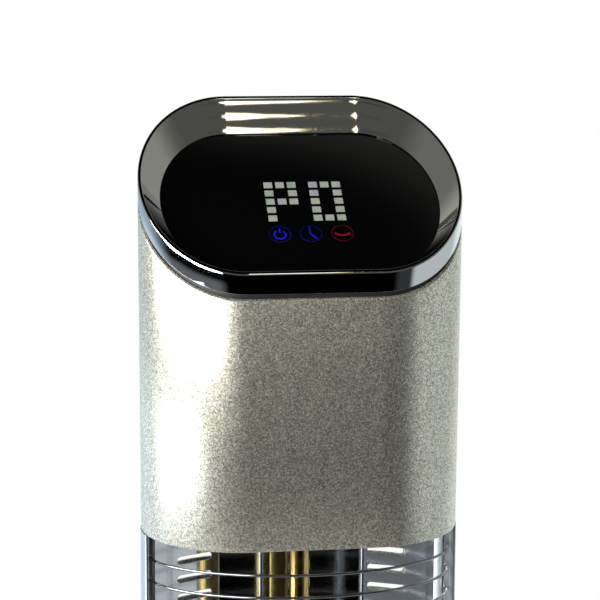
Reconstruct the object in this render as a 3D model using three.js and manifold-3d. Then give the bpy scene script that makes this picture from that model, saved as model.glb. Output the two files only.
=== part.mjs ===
// Infrared tower heater. An oval base carries a swinging tower: a short lower housing with the drive,
// a tall radiant section with a gold quartz lamp before a mirror reflector and behind a chrome wire
// guard, and a silver head with a slanted, chrome-framed touch display.
// Millimetres. Z is up, the front faces -Y, and the origin is on the floor under the pivot.

import * as THREE from 'three';
import { mergeVertices } from 'three/addons/utils/BufferGeometryUtils.js';
import Module from 'manifold-3d';

const wasm = await Module();
wasm.setup();

// ---------------------------------------------------------------- driving dimensions

const GAP = 0.3; // clearance between pieces that rest against each other

const TOWER_WIDTH = 190;
const TOWER_DEPTH = 118;
const TOWER_RADIUS = TOWER_DEPTH / 2;
const TOWER_HALF = (TOWER_WIDTH - TOWER_DEPTH) / 2; // half the straight front of the oval
const WALL = 1.6;

const BASE_WIDTH = 300;
const BASE_DEPTH = 220;
const BASE_RADIUS = BASE_DEPTH / 2;
const BASE_HALF = (BASE_WIDTH - BASE_DEPTH) / 2;
const FOOT_HEIGHT = 5;
const BASE_TOP = 35;

const HOUSING_BOTTOM = 37.6;
const TURNTABLE_THICKNESS = 3.4;
const HOUSING_TOP = 150;
const HEAD_BOTTOM = 626;

const HEAD_TOP_WIDTH = 191.6; // the head flares a little towards its rim
const HEAD_TOP_RADIUS = 57.6;
const HEAD_TOP_HALF = HEAD_TOP_WIDTH / 2 - HEAD_TOP_RADIUS;
const RIM_SLOPE = Math.tan(THREE.MathUtils.degToRad(38.5)); // the display leans back
const RIM_FRONT = HEAD_BOTTOM + 161.7; // height of the rim at its front edge
const BEZEL_HEIGHT = 11.8;
const PANEL_DROP = 12.6;
const PANEL_INSET = 12.9;
const CASING_DROP = 15.5;

const LAMP_RADIUS = 7;
const WIRE_RADIUS = 0.85;
const WIRE_PITCH = 13.4;
const WIRE_COUNT = 35;
const TOP_WIRE = HEAD_BOTTOM - 16.3;
const GUARD_HALF_WIDTH = 90.7;
const GUARD_HALF_DEPTH = 54.1;
const ROD_X = 30;

const GEAR_MODULE = 2;
const FIXED_TEETH = 30;
const PINION_TEETH = 10;
const GEAR_BOTTOM = 43.7;
const GEAR_TOP = 51.7;
const PINION_X = (GEAR_MODULE * (FIXED_TEETH + PINION_TEETH)) / 2;

const SWITCH_HEIGHT = 92; // centre of the rocker switch on the rear of the lower housing
const ROCKER_PIN_DEPTH = 1.5;
const ROCKER_TILT = 10; // the rocker turns twice this between its two ends
const TIP_SWITCH_X = -112;

const ARC_STEPS = 12; // facets in each half circle of an oval outline

// ---------------------------------------------------------------- materials

const finish = (color, roughness, metalness) =>
  new THREE.MeshStandardMaterial({ color, roughness, metalness });

const SILVER = finish(0xb9bbbd, 0.42, 0.75);
const CHROME = finish(0xd6d8da, 0.08, 1);
const MIRROR = finish(0xc9ced1, 0.12, 1);
const STEEL = finish(0x9b9da0, 0.35, 0.9);
const BLACK_PLASTIC = finish(0x141416, 0.45, 0);
const BLACK_GLASS = finish(0x050506, 0.05, 0);
const RUBBER = finish(0x1d1d1f, 0.8, 0);
const GOLD_QUARTZ = finish(0xb08a3c, 0.2, 0.7);
const CERAMIC = finish(0xe6e0d2, 0.6, 0);
const NYLON = finish(0xe9e7df, 0.5, 0);
const CIRCUIT_BOARD = finish(0x1f5a35, 0.55, 0);
const LED_FACE = finish(0xdfe6df, 0.5, 0);

// ---------------------------------------------------------------- solids

// A closed geometry with merged vertices and faces turned outwards, as a manifold solid.
function solid(geometry) {
  const bare = geometry.clone();
  for (const name of Object.keys(bare.attributes)) {
    if (name !== 'position') bare.deleteAttribute(name);
  }
  const merged = mergeVertices(bare, 1e-4);
  const points = merged.attributes.position;
  const corners = [];
  const [a, b, c] = [new THREE.Vector3(), new THREE.Vector3(), new THREE.Vector3()];
  let volume = 0;
  for (let i = 0; i < merged.index.count; i += 3) {
    const [p, q, r] = [0, 1, 2].map((k) => merged.index.getX(i + k));
    if (p === q || q === r || r === p) continue;
    corners.push([p, q, r]);
    a.fromBufferAttribute(points, p);
    b.fromBufferAttribute(points, q);
    c.fromBufferAttribute(points, r);
    volume += a.dot(b.cross(c));
  }
  const facing = volume < 0 ? corners.map(([p, q, r]) => [p, r, q]) : corners;
  return new wasm.Manifold(
    new wasm.Mesh({
      numProp: 3,
      vertProperties: new Float32Array(points.array),
      triVerts: new Uint32Array(facing.flat()),
    }),
  );
}

const join = (...parts) => parts.reduce((sum, part) => sum.add(part));
const cut = (body, ...tools) => tools.reduce((rest, tool) => rest.subtract(tool), body);

// Joins rings of equal point counts into one surface. A closed loft returns to its first ring, and an
// open one gets a flat fan over each end.
function loft(rings, closed = false) {
  const count = rings[0].length;
  const points = rings.flat();
  const index = [];
  const spans = closed ? rings.length : rings.length - 1;
  for (let ring = 0; ring < spans; ring += 1) {
    const next = (ring + 1) % rings.length;
    for (let i = 0; i < count; i += 1) {
      const j = (i + 1) % count;
      const [p, q] = [ring * count + i, ring * count + j];
      const [r, s] = [next * count + j, next * count + i];
      index.push(p, q, r, p, r, s);
    }
  }
  if (!closed) {
    for (const [ring, flip] of [[0, true], [rings.length - 1, false]]) {
      const centre = points.length;
      points.push(rings[ring].reduce((sum, p) => sum.clone().add(p)).multiplyScalar(1 / count));
      for (let i = 0; i < count; i += 1) {
        const edge = [ring * count + i, ring * count + ((i + 1) % count)];
        index.push(...(flip ? edge.reverse() : edge), centre);
      }
    }
  }
  const geometry = new THREE.BufferGeometry().setFromPoints(points);
  geometry.setIndex(index);
  return solid(geometry);
}

// The oval outline: two half circles joined by straight runs. height gives each point's z.
function oval(half, radius, height) {
  const points = [];
  for (const side of [1, -1]) {
    for (let i = 0; i <= ARC_STEPS; i += 1) {
      const angle = (-side * Math.PI) / 2 + (Math.PI * i) / ARC_STEPS;
      const x = side * half + radius * Math.cos(angle);
      const y = radius * Math.sin(angle);
      points.push(new THREE.Vector3(x, y, typeof height === 'function' ? height(y) : height));
    }
  }
  return points;
}

function rectangle(width, depth, height) {
  const corners = [[1, -1], [1, 1], [-1, 1], [-1, -1]];
  return corners.map(([sx, sy]) => {
    const y = (sy * depth) / 2;
    return new THREE.Vector3((sx * width) / 2, y, typeof height === 'function' ? height(y) : height);
  });
}

const ovalPlate = (half, radius, bottom, top) =>
  loft([oval(half, radius, bottom), oval(half, radius, top)]);

const ovalTube = (half, radius, wall, bottom, top) =>
  loft(
    [
      oval(half, radius, bottom),
      oval(half, radius, top),
      oval(half, radius - wall, top),
      oval(half, radius - wall, bottom),
    ],
    true,
  );

const box = (width, depth, height, x, y, z) =>
  solid(new THREE.BoxGeometry(width, depth, height).translate(x, y, z + height / 2));

// An upright round bar from z to z + height.
const post = (radius, height, x, y, z, sides = 16) =>
  solid(
    new THREE.CylinderGeometry(radius, radius, height, sides)
      .rotateX(Math.PI / 2)
      .translate(x, y, z + height / 2),
  );

// A turned piece: profile holds [radius, z] pairs and closes on itself or on the axis.
function turned(profile, sides = 24) {
  const points = profile.map(([radius, z]) => new THREE.Vector2(radius, z));
  return solid(new THREE.LatheGeometry(points, sides).rotateX(Math.PI / 2));
}

const ring = (inner, outer, bottom, top, sides = 24) =>
  turned([[inner, bottom], [outer, bottom], [outer, top], [inner, top], [inner, bottom]], sides);

// A pan-head screw along +Z whose head starts at z = 0 and whose shank points up.
function screw(headRadius, headHeight, shankRadius, length) {
  return turned(
    [
      [0, 0],
      [headRadius * 0.7, 0],
      [headRadius, headHeight * 0.5],
      [headRadius, headHeight],
      [shankRadius, headHeight],
      [shankRadius, headHeight + length],
      [0, headHeight + length],
    ],
    12,
  );
}

// A flat shape of [x, y] points raised from bottom to top.
function raised(points, bottom, top) {
  const shape = new THREE.Shape(points.map(([x, y]) => new THREE.Vector2(x, y)));
  const geometry = new THREE.ExtrudeGeometry(shape, { depth: top - bottom, bevelEnabled: false });
  return solid(geometry.translate(0, 0, bottom));
}

// A bent strip of even thickness, grown to the left of the path of [x, y] points.
function strip(path, thickness, bottom, top) {
  const offset = path.map(([x, y], i) => {
    const before = path[Math.max(i - 1, 0)];
    const after = path[Math.min(i + 1, path.length - 1)];
    const into = new THREE.Vector2(x - before[0], y - before[1]).normalize();
    const out = new THREE.Vector2(after[0] - x, after[1] - y).normalize();
    const along = into.clone().add(out).normalize();
    const single = i === 0 ? out : into;
    const stretch = thickness / Math.max(along.dot(single), 0.5);
    return [x - along.y * stretch, y + along.x * stretch];
  });
  return raised([...path, ...offset.reverse()], bottom, top);
}

// ---------------------------------------------------------------- assembly

const heater = new THREE.Group();
heater.name = 'tower_heater';

function place(name, body, material) {
  const mesh = body.getMesh();
  const geometry = new THREE.BufferGeometry();
  geometry.setAttribute('position', new THREE.BufferAttribute(new Float32Array(mesh.vertProperties), 3));
  geometry.setIndex(new THREE.BufferAttribute(new Uint32Array(mesh.triVerts), 1));
  geometry.computeVertexNormals();
  const piece = new THREE.Mesh(geometry, material);
  piece.name = name;
  heater.add(piece);
}

// ---------------------------------------------------------------- base

const FOOT_PLACES = [[-85, -62], [85, -62], [85, 62], [-85, 62]];
const SCREW_PLACES = [[-60, -78], [60, -78], [60, 78], [-60, 78]];
const PLATE_BOTTOM = FOOT_HEIGHT + GAP;
const PLATE_TOP = PLATE_BOTTOM + 2;
const COVER_WALL = 3;
const POST_RADIUS = 23.5;
const BOSS_RADIUS = 5;
const CORD_HEIGHT = 13.4;
const INLET_LENGTH = 8.3;

function buildBase() {
  // Each row is how far in from the edge the dome has come, and how high it stands there.
  const dome = [[0, FOOT_HEIGHT], [0, 15], [2, 21], [8, 27], [22, 32], [50, BASE_TOP]];
  const under = dome.map(([inset, z], i) => [inset + COVER_WALL, i ? z - COVER_WALL : z]);
  const rings = (rows) => rows.map(([inset, z]) => oval(BASE_HALF, BASE_RADIUS - inset, z));
  const shell = cut(loft(rings(dome)), loft(rings([[COVER_WALL, FOOT_HEIGHT - 1], ...under.slice(1)])));
  const bosses = SCREW_PLACES.map(([x, y]) => post(BOSS_RADIUS, 22, x, y, PLATE_TOP + GAP, 12));
  const pilots = SCREW_PLACES.map(([x, y]) => post(2.1, 13, x, y, PLATE_TOP - 1, 8));
  const cordHole = solid(new THREE.CylinderGeometry(4.6, 4.6, 20, 16).translate(0, BASE_RADIUS, CORD_HEIGHT));
  const pivotHole = post(POST_RADIUS + 0.5, 12, 0, 0, BASE_TOP - 8, 24);
  place('base_cover', cut(join(shell, ...bosses), ...pilots, pivotHole, cordHole), SILVER);

  const plate = ovalPlate(BASE_HALF, BASE_RADIUS - COVER_WALL - GAP, PLATE_BOTTOM, PLATE_TOP);
  const plungerHole = post(4, 10, TIP_SWITCH_X, 0, 0, 16);
  const screwHoles = SCREW_PLACES.map(([x, y]) => post(2.2, 10, x, y, 0, 8));
  place('base_plate', cut(plate, plungerHole, ...screwHoles), BLACK_PLASTIC);

  const weight = ovalPlate(42, 50, PLATE_TOP + GAP, PLATE_TOP + 9);
  place('base_weight', cut(weight, post(38, 20, 0, 0, 0, 20)), STEEL);

  const foot = [[0, 0], [8, 0], [9, 1], [9, FOOT_HEIGHT], [0, FOOT_HEIGHT]];
  FOOT_PLACES.forEach(([x, y], i) => place(`foot_${i + 1}`, turned(foot, 16).translate(x, y, 0), RUBBER));
  SCREW_PLACES.forEach(([x, y], i) => {
    place(`base_screw_${i + 1}`, screw(3.6, 2, 1.8, 11).translate(x, y, 3), STEEL);
  });

  // The cord's inlet: a bush whose collar is inside the cover and whose nose ends flush with its wall.
  const inlet = turned([
    [2.8, 0], [5.4, 0], [5.4, 2.2], [4.3, 2.2], [4.3, INLET_LENGTH], [2.8, INLET_LENGTH], [2.8, 0],
  ], 16);
  const upright = inlet.rotate([-90, 0, 0]);
  place('cord_grommet', upright.translate(0, BASE_RADIUS - INLET_LENGTH, CORD_HEIGHT), RUBBER);
}

// ---------------------------------------------------------------- tip-over switch

const PLUNGER_HEAD = [12.9, 14.6];
const SPRING_TOP = 21.8;
const SWITCH_BOX_TOP = 24;

function buildTipSwitch() {
  const body = box(18, 20, SWITCH_BOX_TOP - PLATE_TOP - GAP, TIP_SWITCH_X, 0, PLATE_TOP + GAP);
  const bore = post(5.2, SPRING_TOP + GAP, TIP_SWITCH_X, 0, 0, 16);
  place('tip_switch', cut(body, bore), BLACK_PLASTIC);

  const plunger = turned(
    [[0, 0], [2.4, 0], [3.5, 1], [3.5, PLUNGER_HEAD[0]], [4.7, PLUNGER_HEAD[0]],
      [4.7, PLUNGER_HEAD[1]], [0, PLUNGER_HEAD[1]]],
    16,
  );
  place('tip_plunger', plunger.translate(TIP_SWITCH_X, 0, 0), NYLON);

  const turns = 4;
  const wire = 0.45;
  const low = PLUNGER_HEAD[1] + GAP + wire;
  const high = SPRING_TOP - wire;
  class Helix extends THREE.Curve {
    getPoint(t) {
      const angle = 2 * Math.PI * turns * t;
      return new THREE.Vector3(3.4 * Math.cos(angle), 3.4 * Math.sin(angle), low + (high - low) * t);
    }
  }
  const section = new THREE.Shape();
  section.absarc(0, 0, wire, 0, 2 * Math.PI, false);
  const coil = new THREE.ExtrudeGeometry(section, {
    extrudePath: new Helix(), steps: turns * 8, curveSegments: 4, bevelEnabled: false,
  });
  place('tip_spring', solid(coil).translate(TIP_SWITCH_X, 0, 0), STEEL);
}

// ---------------------------------------------------------------- swing drive

// A spur gear outline with straight-sided teeth, the first one centred on the angle start.
function gearOutline(teeth, start, rootWidth, tipWidth) {
  const pitchRadius = (GEAR_MODULE * teeth) / 2;
  const rootRadius = pitchRadius - 1.25 * GEAR_MODULE;
  const tipRadius = pitchRadius + 0.8 * GEAR_MODULE;
  const points = [];
  for (let i = 0; i < teeth; i += 1) {
    const middle = start + (2 * Math.PI * i) / teeth;
    const root = rootWidth / 2 / rootRadius;
    const tip = tipWidth / 2 / tipRadius;
    for (const [radius, angle] of [
      [rootRadius, middle - root],
      [tipRadius, middle - tip],
      [tipRadius, middle + tip],
      [rootRadius, middle + root],
    ]) {
      points.push([radius * Math.cos(angle), radius * Math.sin(angle)]);
    }
  }
  return points;
}

function buildDrive() {
  const flangeTop = BASE_TOP - COVER_WALL - GAP;
  const floorTop = HOUSING_BOTTOM + TURNTABLE_THICKNESS;
  const bore = 12;
  place('pivot_post', turned([
    [bore, flangeTop - 4], [34, flangeTop - 4], [34, flangeTop], [POST_RADIUS, flangeTop],
    [POST_RADIUS, 58.4], [bore, 58.4], [bore, flangeTop - 4],
  ]), STEEL);
  place('glide_ring', ring(POST_RADIUS + GAP, 44, BASE_TOP + GAP, HOUSING_BOTTOM - GAP), NYLON);
  place('thrust_washer', ring(POST_RADIUS + GAP, 29, floorTop + 0.5, GEAR_BOTTOM - GAP), STEEL);
  const nut = post(30, 6, 0, 0, GEAR_TOP + GAP, 6);
  place('retaining_nut', cut(nut, post(POST_RADIUS + GAP, 10, 0, 0, GEAR_TOP - 1, 24)), STEEL);

  const fixed = raised(gearOutline(FIXED_TEETH, 0, 3.6, 1.3), GEAR_BOTTOM, GEAR_TOP);
  place('fixed_gear', cut(fixed, post(POST_RADIUS + GAP, 20, 0, 0, 40, 24)), NYLON);

  const gapTowardsPost = Math.PI + Math.PI / PINION_TEETH;
  const pinion = raised(gearOutline(PINION_TEETH, gapTowardsPost, 3.4, 1.2), GEAR_BOTTOM, GEAR_TOP);
  const shaft = post(2.5, 15.2, 0, 0, GEAR_BOTTOM, 12);
  place('drive_pinion', join(pinion, shaft).translate(PINION_X, 0, 0), NYLON);

  const pillarTop = 58.7;
  const floor = ovalPlate(TOWER_HALF, TOWER_RADIUS - WALL - GAP, HOUSING_BOTTOM, floorTop);
  const pillars = [-30, 30].map((y) => post(4, pillarTop - floorTop + 1, PINION_X, y, floorTop - 1, 12));
  const pilots = [-30, 30].map((y) => post(1.8, 12, PINION_X, y, pillarTop - 10, 8));
  const pivotHole = post(POST_RADIUS + 0.7, 10, 0, 0, HOUSING_BOTTOM - 2, 24);
  place('turntable', cut(join(floor, ...pillars), pivotHole, ...pilots), STEEL);

  const motorBottom = pillarTop + GAP;
  const can = post(24, 20, PINION_X, 0, motorBottom, 20);
  const ear = box(10, 70, 2, PINION_X, 0, motorBottom);
  const shaftBore = post(3, 1.5, PINION_X, 0, motorBottom - 1, 12);
  const earHoles = [-30, 30].map((y) => post(1.9, 5, PINION_X, y, motorBottom - 1, 8));
  place('swing_motor', cut(join(can, ear), shaftBore, ...earHoles), STEEL);
  [-30, 30].forEach((y, i) => {
    const body = screw(3, 1.8, 1.5, 9).rotate([180, 0, 0]);
    place(`motor_screw_${i + 1}`, body.translate(PINION_X, y, motorBottom + 2 + GAP + 1.8), STEEL);
  });
}

// ---------------------------------------------------------------- lower housing

function buildLowerHousing() {
  const shell = ovalTube(TOWER_HALF, TOWER_RADIUS, WALL, HOUSING_BOTTOM, HOUSING_TOP);
  const cutout = box(28, 20, 22, 0, TOWER_RADIUS, SWITCH_HEIGHT - 11);
  place('lower_housing', cut(shell, cutout), SILVER);

  const bulkhead = ovalPlate(TOWER_HALF, TOWER_RADIUS - WALL - GAP, HOUSING_TOP - 4, HOUSING_TOP - 1.4);
  place('lower_bulkhead', cut(bulkhead, post(LAMP_RADIUS + 4, 10, 0, 0, HOUSING_TOP - 8, 20)), STEEL);

  // The rocker switch snaps into the rear wall: a flanged body with a pocket for the rocker.
  const wallFace = TOWER_RADIUS;
  const flange = box(32, 2, 26, 0, wallFace + GAP + 1, SWITCH_HEIGHT - 13);
  const barrel = box(27, 20, 21, 0, wallFace - 8.5, SWITCH_HEIGHT - 10.5);
  const pocket = box(21, 14, 17, 0, wallFace + 1.5, SWITCH_HEIGHT - 8.5);
  place('switch_body', cut(join(flange, barrel), pocket), BLACK_PLASTIC);

  const seat = HOUSING_BOTTOM + TURNTABLE_THICKNESS + GAP;
  place('terminal_block', box(34, 14, 12, -52, 20, seat), NYLON);
}

// The rocker tips about a pin along X. Its face has two planes that meet over the pin, and it rests
// with its upper half pushed in.
function buildRocker() {
  const profile = [[-3.4, -3.6], [-3.8, 0], [-3.4, 3.6], [3.9, 7.2], [2.6, 0], [3.9, -7.2]];
  const wedge = raised(profile, -9.6, 9.6).rotate([90, 0, 90]);
  const tilted = wedge.rotate([ROCKER_TILT, 0, 0]);
  place('rocker', tilted.translate(0, TOWER_RADIUS - ROCKER_PIN_DEPTH, SWITCH_HEIGHT), BLACK_PLASTIC);
}

// ---------------------------------------------------------------- radiant section

const SECTION_BOTTOM = HOUSING_TOP + GAP;
const SECTION_TOP = HEAD_BOTTOM - GAP;
const FLANGE_Y = -3; // plane of the front flanges that the guard wires enter
const POST_FRONT = -13; // angles, in degrees, along the round side of the oval
const POST_REAR = 34;

const onSide = (side, degrees, radius) => {
  const angle = THREE.MathUtils.degToRad(degrees);
  return [side * (TOWER_HALF + radius * Math.cos(angle)), radius * Math.sin(angle)];
};

const arcOfSide = (side, from, to, radius, steps) =>
  Array.from({ length: steps + 1 }, (_, i) => onSide(side, from + ((to - from) * i) / steps, radius));

function buildSidePosts() {
  for (const [name, side] of [['side_post_right', 1], ['side_post_left', -1]]) {
    const outer = arcOfSide(side, POST_FRONT, POST_REAR, TOWER_RADIUS + 0.4, 6);
    const inner = arcOfSide(side, POST_REAR, 4, TOWER_RADIUS - 2.2, 4);
    const flange = [[side * 92.4, FLANGE_Y + 2.4], [side * 89, FLANGE_Y + 2.4], [side * 89, FLANGE_Y],
      [side * 92.6, FLANGE_Y]];
    const lip = arcOfSide(side, -4.5, POST_FRONT, TOWER_RADIUS - 1.8, 1);
    place(name, raised([...outer, ...inner, ...flange, ...lip], SECTION_BOTTOM, SECTION_TOP), SILVER);
  }
}

// Half of the reflector's section: side wall, slotted facet and back.
const REFLECTOR_HALF = [[87.2, FLANGE_Y], [87.2, 16], [44, 36.5], [12, 39.5]];
const SHEET = 1.2;

// Rows of cooling slots: each pair in the reflector has a pair behind it in the rear cover.
const VENT_ROWS = 38;
const VENT_PITCH = 11.75;
const TOP_VENT = HEAD_BOTTOM - 16.1;
const REFLECTOR_VENT = { width: 25, height: 4.8, x: 60, y: 28.9, turn: 25.4 };
const COVER_VENT = { width: 34, height: 6.4, x: 58.7, y: 53.4, turn: 23, sink: 4 };

function ventPairs({ width, height, x, y, turn, sink = 0 }) {
  const slot = (side) => box(width, 14, height, 0, 0, -height / 2).rotate([0, 0, -side * turn]);
  const pair = [1, -1].map((side) => slot(side).translate(side * x, y, TOP_VENT - sink));
  return Array.from({ length: VENT_ROWS }, (_, row) =>
    pair.map((body) => body.translate(0, 0, -row * VENT_PITCH))).flat();
}

function buildReflector() {
  const path = [...REFLECTOR_HALF, ...REFLECTOR_HALF.map(([x, y]) => [-x, y]).reverse()];
  const sheet = strip(path, -SHEET, SECTION_BOTTOM, HEAD_BOTTOM + 0.7);
  place('reflector', cut(sheet, ...ventPairs(REFLECTOR_VENT)), MIRROR);
}

function buildRearCover() {
  const start = POST_REAR + 1;
  const right = arcOfSide(1, start, 90, TOWER_RADIUS, 6);
  const left = arcOfSide(-1, 90, start, TOWER_RADIUS, 6);
  const shell = strip([...right, ...left], 2, SECTION_BOTTOM, SECTION_TOP);
  const corners = [[-33, 14], [33, 14], [33, 461], [-33, 461]];
  const at = (body, [x, rise]) => body.translate(x, TOWER_RADIUS, SECTION_BOTTOM + rise);
  const drill = post(1.8, 10, 0, 0, -5, 8).rotate([90, 0, 0]);
  const holes = corners.map((corner) => at(drill, corner));
  place('rear_cover', cut(shell, ...ventPairs(COVER_VENT), ...holes), SILVER);
  const fixing = screw(3.4, 1.8, 1.4, 6).rotate([90, 0, 0]).translate(0, GAP + 1.8, 0);
  corners.forEach((corner, i) => place(`cover_screw_${i + 1}`, at(fixing, corner), STEEL));
}

// A round wire along a path of points, with square corners kept small for a light mesh.
function wire(points, radius, sides) {
  const shape = new THREE.Shape(
    Array.from({ length: sides }, (_, i) => {
      const angle = (2 * Math.PI * (i + 0.5)) / sides;
      return new THREE.Vector2(radius * Math.cos(angle), radius * Math.sin(angle));
    }),
  );
  const path = new THREE.CatmullRomCurve3(points);
  return solid(new THREE.ExtrudeGeometry(shape, {
    extrudePath: path, steps: points.length - 1, bevelEnabled: false,
  }));
}

function buildGuard() {
  const endAngle = Math.asin((-FLANGE_Y + GAP) / GUARD_HALF_DEPTH);
  const bends = 10;
  const bow = Array.from({ length: bends + 1 }, (_, i) => {
    const angle = endAngle + ((Math.PI - 2 * endAngle) * i) / bends;
    return new THREE.Vector3(GUARD_HALF_WIDTH * Math.cos(angle), -GUARD_HALF_DEPTH * Math.sin(angle), 0);
  });
  const hoop = wire(bow, WIRE_RADIUS, 4);
  const hoops = Array.from({ length: WIRE_COUNT }, (_, i) => hoop.translate(0, 0, TOP_WIRE - i * WIRE_PITCH));
  const rodY = -GUARD_HALF_DEPTH * Math.sqrt(1 - (ROD_X / GUARD_HALF_WIDTH) ** 2) + 2;
  const rodBottom = SECTION_BOTTOM - 1.2;
  const rods = [-ROD_X, ROD_X].map((x) => post(1.3, HEAD_BOTTOM - rodBottom, x, rodY, rodBottom, 6));
  place('wire_guard', join(...hoops, ...rods), CHROME);
}

// ---------------------------------------------------------------- lamp

const LAMP_BOTTOM = 136;
const LAMP_TOP = 640;

function buildLamp() {
  place('lamp_tube', post(LAMP_RADIUS, LAMP_TOP - LAMP_BOTTOM, 0, 0, LAMP_BOTTOM, 16), GOLD_QUARTZ);
  const ends = [['top', LAMP_TOP, 1, HEAD_BOTTOM + 3.5], ['bottom', LAMP_BOTTOM, -1, HOUSING_TOP - 4]];
  for (const [name, end, up, seat] of ends) {
    const cap = turned([
      [0, GAP], [0, 14], [6, 14], [9, 11], [9, -8], [LAMP_RADIUS + GAP, -8], [LAMP_RADIUS + GAP, GAP], [0, GAP],
    ], 16);
    const facing = up > 0 ? cap : cap.rotate([180, 0, 0]);
    place(`lamp_cap_${name}`, facing.translate(0, 0, end), CERAMIC);

    const collar = ring(9 + GAP, 11.5, 0, 5, 16);
    const reach = up * (end - seat) - GAP;
    const legs = [-1, 1].map((side) => box(2, 10, reach + 5, side * 12.2, 0, -reach));
    const feet = [-1, 1].map((side) => box(10, 10, 1.5, side * 16, 0, -reach));
    const bracket = join(collar, ...legs, ...feet);
    const turnedOver = up > 0 ? bracket : bracket.rotate([180, 0, 0]);
    place(`lamp_bracket_${name}`, turnedOver.translate(0, 0, end), STEEL);
  }
}

// ---------------------------------------------------------------- head

// Height of the slanted rim plane over the line y, lowered by drop.
const rim = (drop) => (y) => RIM_FRONT + (y + HEAD_TOP_RADIUS) * RIM_SLOPE - drop;

// A ring that follows the slanted top of the head. profile holds [inset, drop] pairs.
const slantedRing = (profile) =>
  loft(profile.map(([inset, drop]) => oval(HEAD_TOP_HALF, HEAD_TOP_RADIUS - inset, rim(drop))), true);

function buildHead() {
  const casing = loft(
    [
      oval(TOWER_HALF, TOWER_RADIUS, HEAD_BOTTOM),
      oval(HEAD_TOP_HALF, HEAD_TOP_RADIUS, rim(CASING_DROP)),
      oval(HEAD_TOP_HALF, HEAD_TOP_RADIUS - WALL, rim(CASING_DROP)),
      oval(TOWER_HALF, TOWER_RADIUS - WALL, HEAD_BOTTOM),
    ],
    true,
  );
  place('head_casing', casing, SILVER);

  const floorTop = HEAD_BOTTOM + 3.5;
  const floor = ovalPlate(TOWER_HALF, TOWER_RADIUS - WALL - 0.5, HEAD_BOTTOM + 1, floorTop);
  place('head_floor', cut(floor, post(LAMP_RADIUS + 3, 10, 0, 0, HEAD_BOTTOM - 2, 20)), STEEL);

  place('power_board', box(110, 1.6, 70, 0, 30, floorTop + GAP), CIRCUIT_BOARD);
  place('relay', box(20, 16, 18, -28, 30 - 0.8 - GAP - 8, floorTop + 30), BLACK_PLASTIC);
  place('transformer', box(32, 26, 28, 20, 30 - 0.8 - GAP - 13, floorTop + 26), STEEL);
  place('thermal_cutout', post(8, 9, 60, -10, floorTop + GAP, 16), BLACK_PLASTIC);

  const panelBottom = PANEL_DROP + 3;
  const trayTop = panelBottom + 0.4;
  place('bezel', slantedRing([
    [0, BEZEL_HEIGHT], [0, 1.2], [1.2, 0], [2.4, 0], [PANEL_INSET, PANEL_DROP - 0.7],
    [PANEL_INSET, PANEL_DROP - GAP], [4, PANEL_DROP - GAP], [4, BEZEL_HEIGHT],
  ]), CHROME);
  place('bezel_gasket', slantedRing([
    [2.2, BEZEL_HEIGHT + GAP], [3.7, BEZEL_HEIGHT + GAP], [3.7, PANEL_DROP], [9.2, PANEL_DROP],
    [9.2, trayTop - GAP], [2.2, trayTop - GAP],
  ]), BLACK_PLASTIC);

  const panelRadius = HEAD_TOP_RADIUS - 9.5;
  const slab = (half, radius, top, bottom) =>
    loft([oval(half, radius, rim(bottom)), oval(half, radius, rim(top))]);
  place('display_panel', slab(HEAD_TOP_HALF, panelRadius, PANEL_DROP, panelBottom), BLACK_GLASS);

  const slantedBlock = (width, depth, top, bottom) =>
    loft([rectangle(width, depth, rim(bottom)), rectangle(width, depth, rim(top))]);
  const tray = slab(HEAD_TOP_HALF, HEAD_TOP_RADIUS - WALL - 0.6, trayTop, trayTop + 3);
  place('control_tray', cut(tray, slantedBlock(66, 44, trayTop - 5, trayTop + 8)), BLACK_PLASTIC);
  place('led_module', slantedBlock(64, 42, trayTop, trayTop + 3.3), LED_FACE);
  place('display_board', slantedBlock(96, 62, trayTop + 3.6, trayTop + 5.6), CIRCUIT_BOARD);
}

buildBase();
buildTipSwitch();
buildDrive();
buildLowerHousing();
buildRocker();
buildSidePosts();
buildReflector();
buildRearCover();
buildGuard();
buildLamp();
buildHead();

export default heater;
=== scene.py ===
"""Infrared tower heater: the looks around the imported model. Metres, +Z up, the front faces -Y."""

import math

import bmesh
import bpy
from mathutils import Matrix, Vector


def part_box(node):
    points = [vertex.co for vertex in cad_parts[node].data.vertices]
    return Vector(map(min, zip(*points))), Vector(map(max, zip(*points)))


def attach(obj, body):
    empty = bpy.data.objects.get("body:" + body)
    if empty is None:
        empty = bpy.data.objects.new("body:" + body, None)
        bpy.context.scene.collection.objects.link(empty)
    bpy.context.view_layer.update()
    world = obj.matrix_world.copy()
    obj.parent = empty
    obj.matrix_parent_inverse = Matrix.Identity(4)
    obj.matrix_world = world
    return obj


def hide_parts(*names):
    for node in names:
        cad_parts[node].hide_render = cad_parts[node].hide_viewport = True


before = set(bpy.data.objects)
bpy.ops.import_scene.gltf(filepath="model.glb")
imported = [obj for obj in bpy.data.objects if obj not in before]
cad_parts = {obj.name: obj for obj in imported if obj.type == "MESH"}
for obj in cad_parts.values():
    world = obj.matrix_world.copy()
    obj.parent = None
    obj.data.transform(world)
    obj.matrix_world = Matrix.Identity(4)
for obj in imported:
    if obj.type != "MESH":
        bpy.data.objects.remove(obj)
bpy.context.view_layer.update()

MM = 0.001

# ---------------------------------------------------------------- sizes, read from the frame


def span(node, axis):
    low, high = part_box(node)
    return high[axis] - low[axis]


def middle(node):
    low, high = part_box(node)
    return Vector([(a + b) / 2 for a, b in zip(low, high)])


TOWER_RADIUS = span("lower_housing", 1) / 2
TOWER_HALF = span("lower_housing", 0) / 2 - TOWER_RADIUS
WALL = 1.6 * MM
HOUSING_BOTTOM, HOUSING_TOP = (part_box("lower_housing")[i][2] for i in (0, 1))
SECTION_BOTTOM, SECTION_TOP = (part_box("side_post_left")[i][2] for i in (0, 1))

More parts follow.
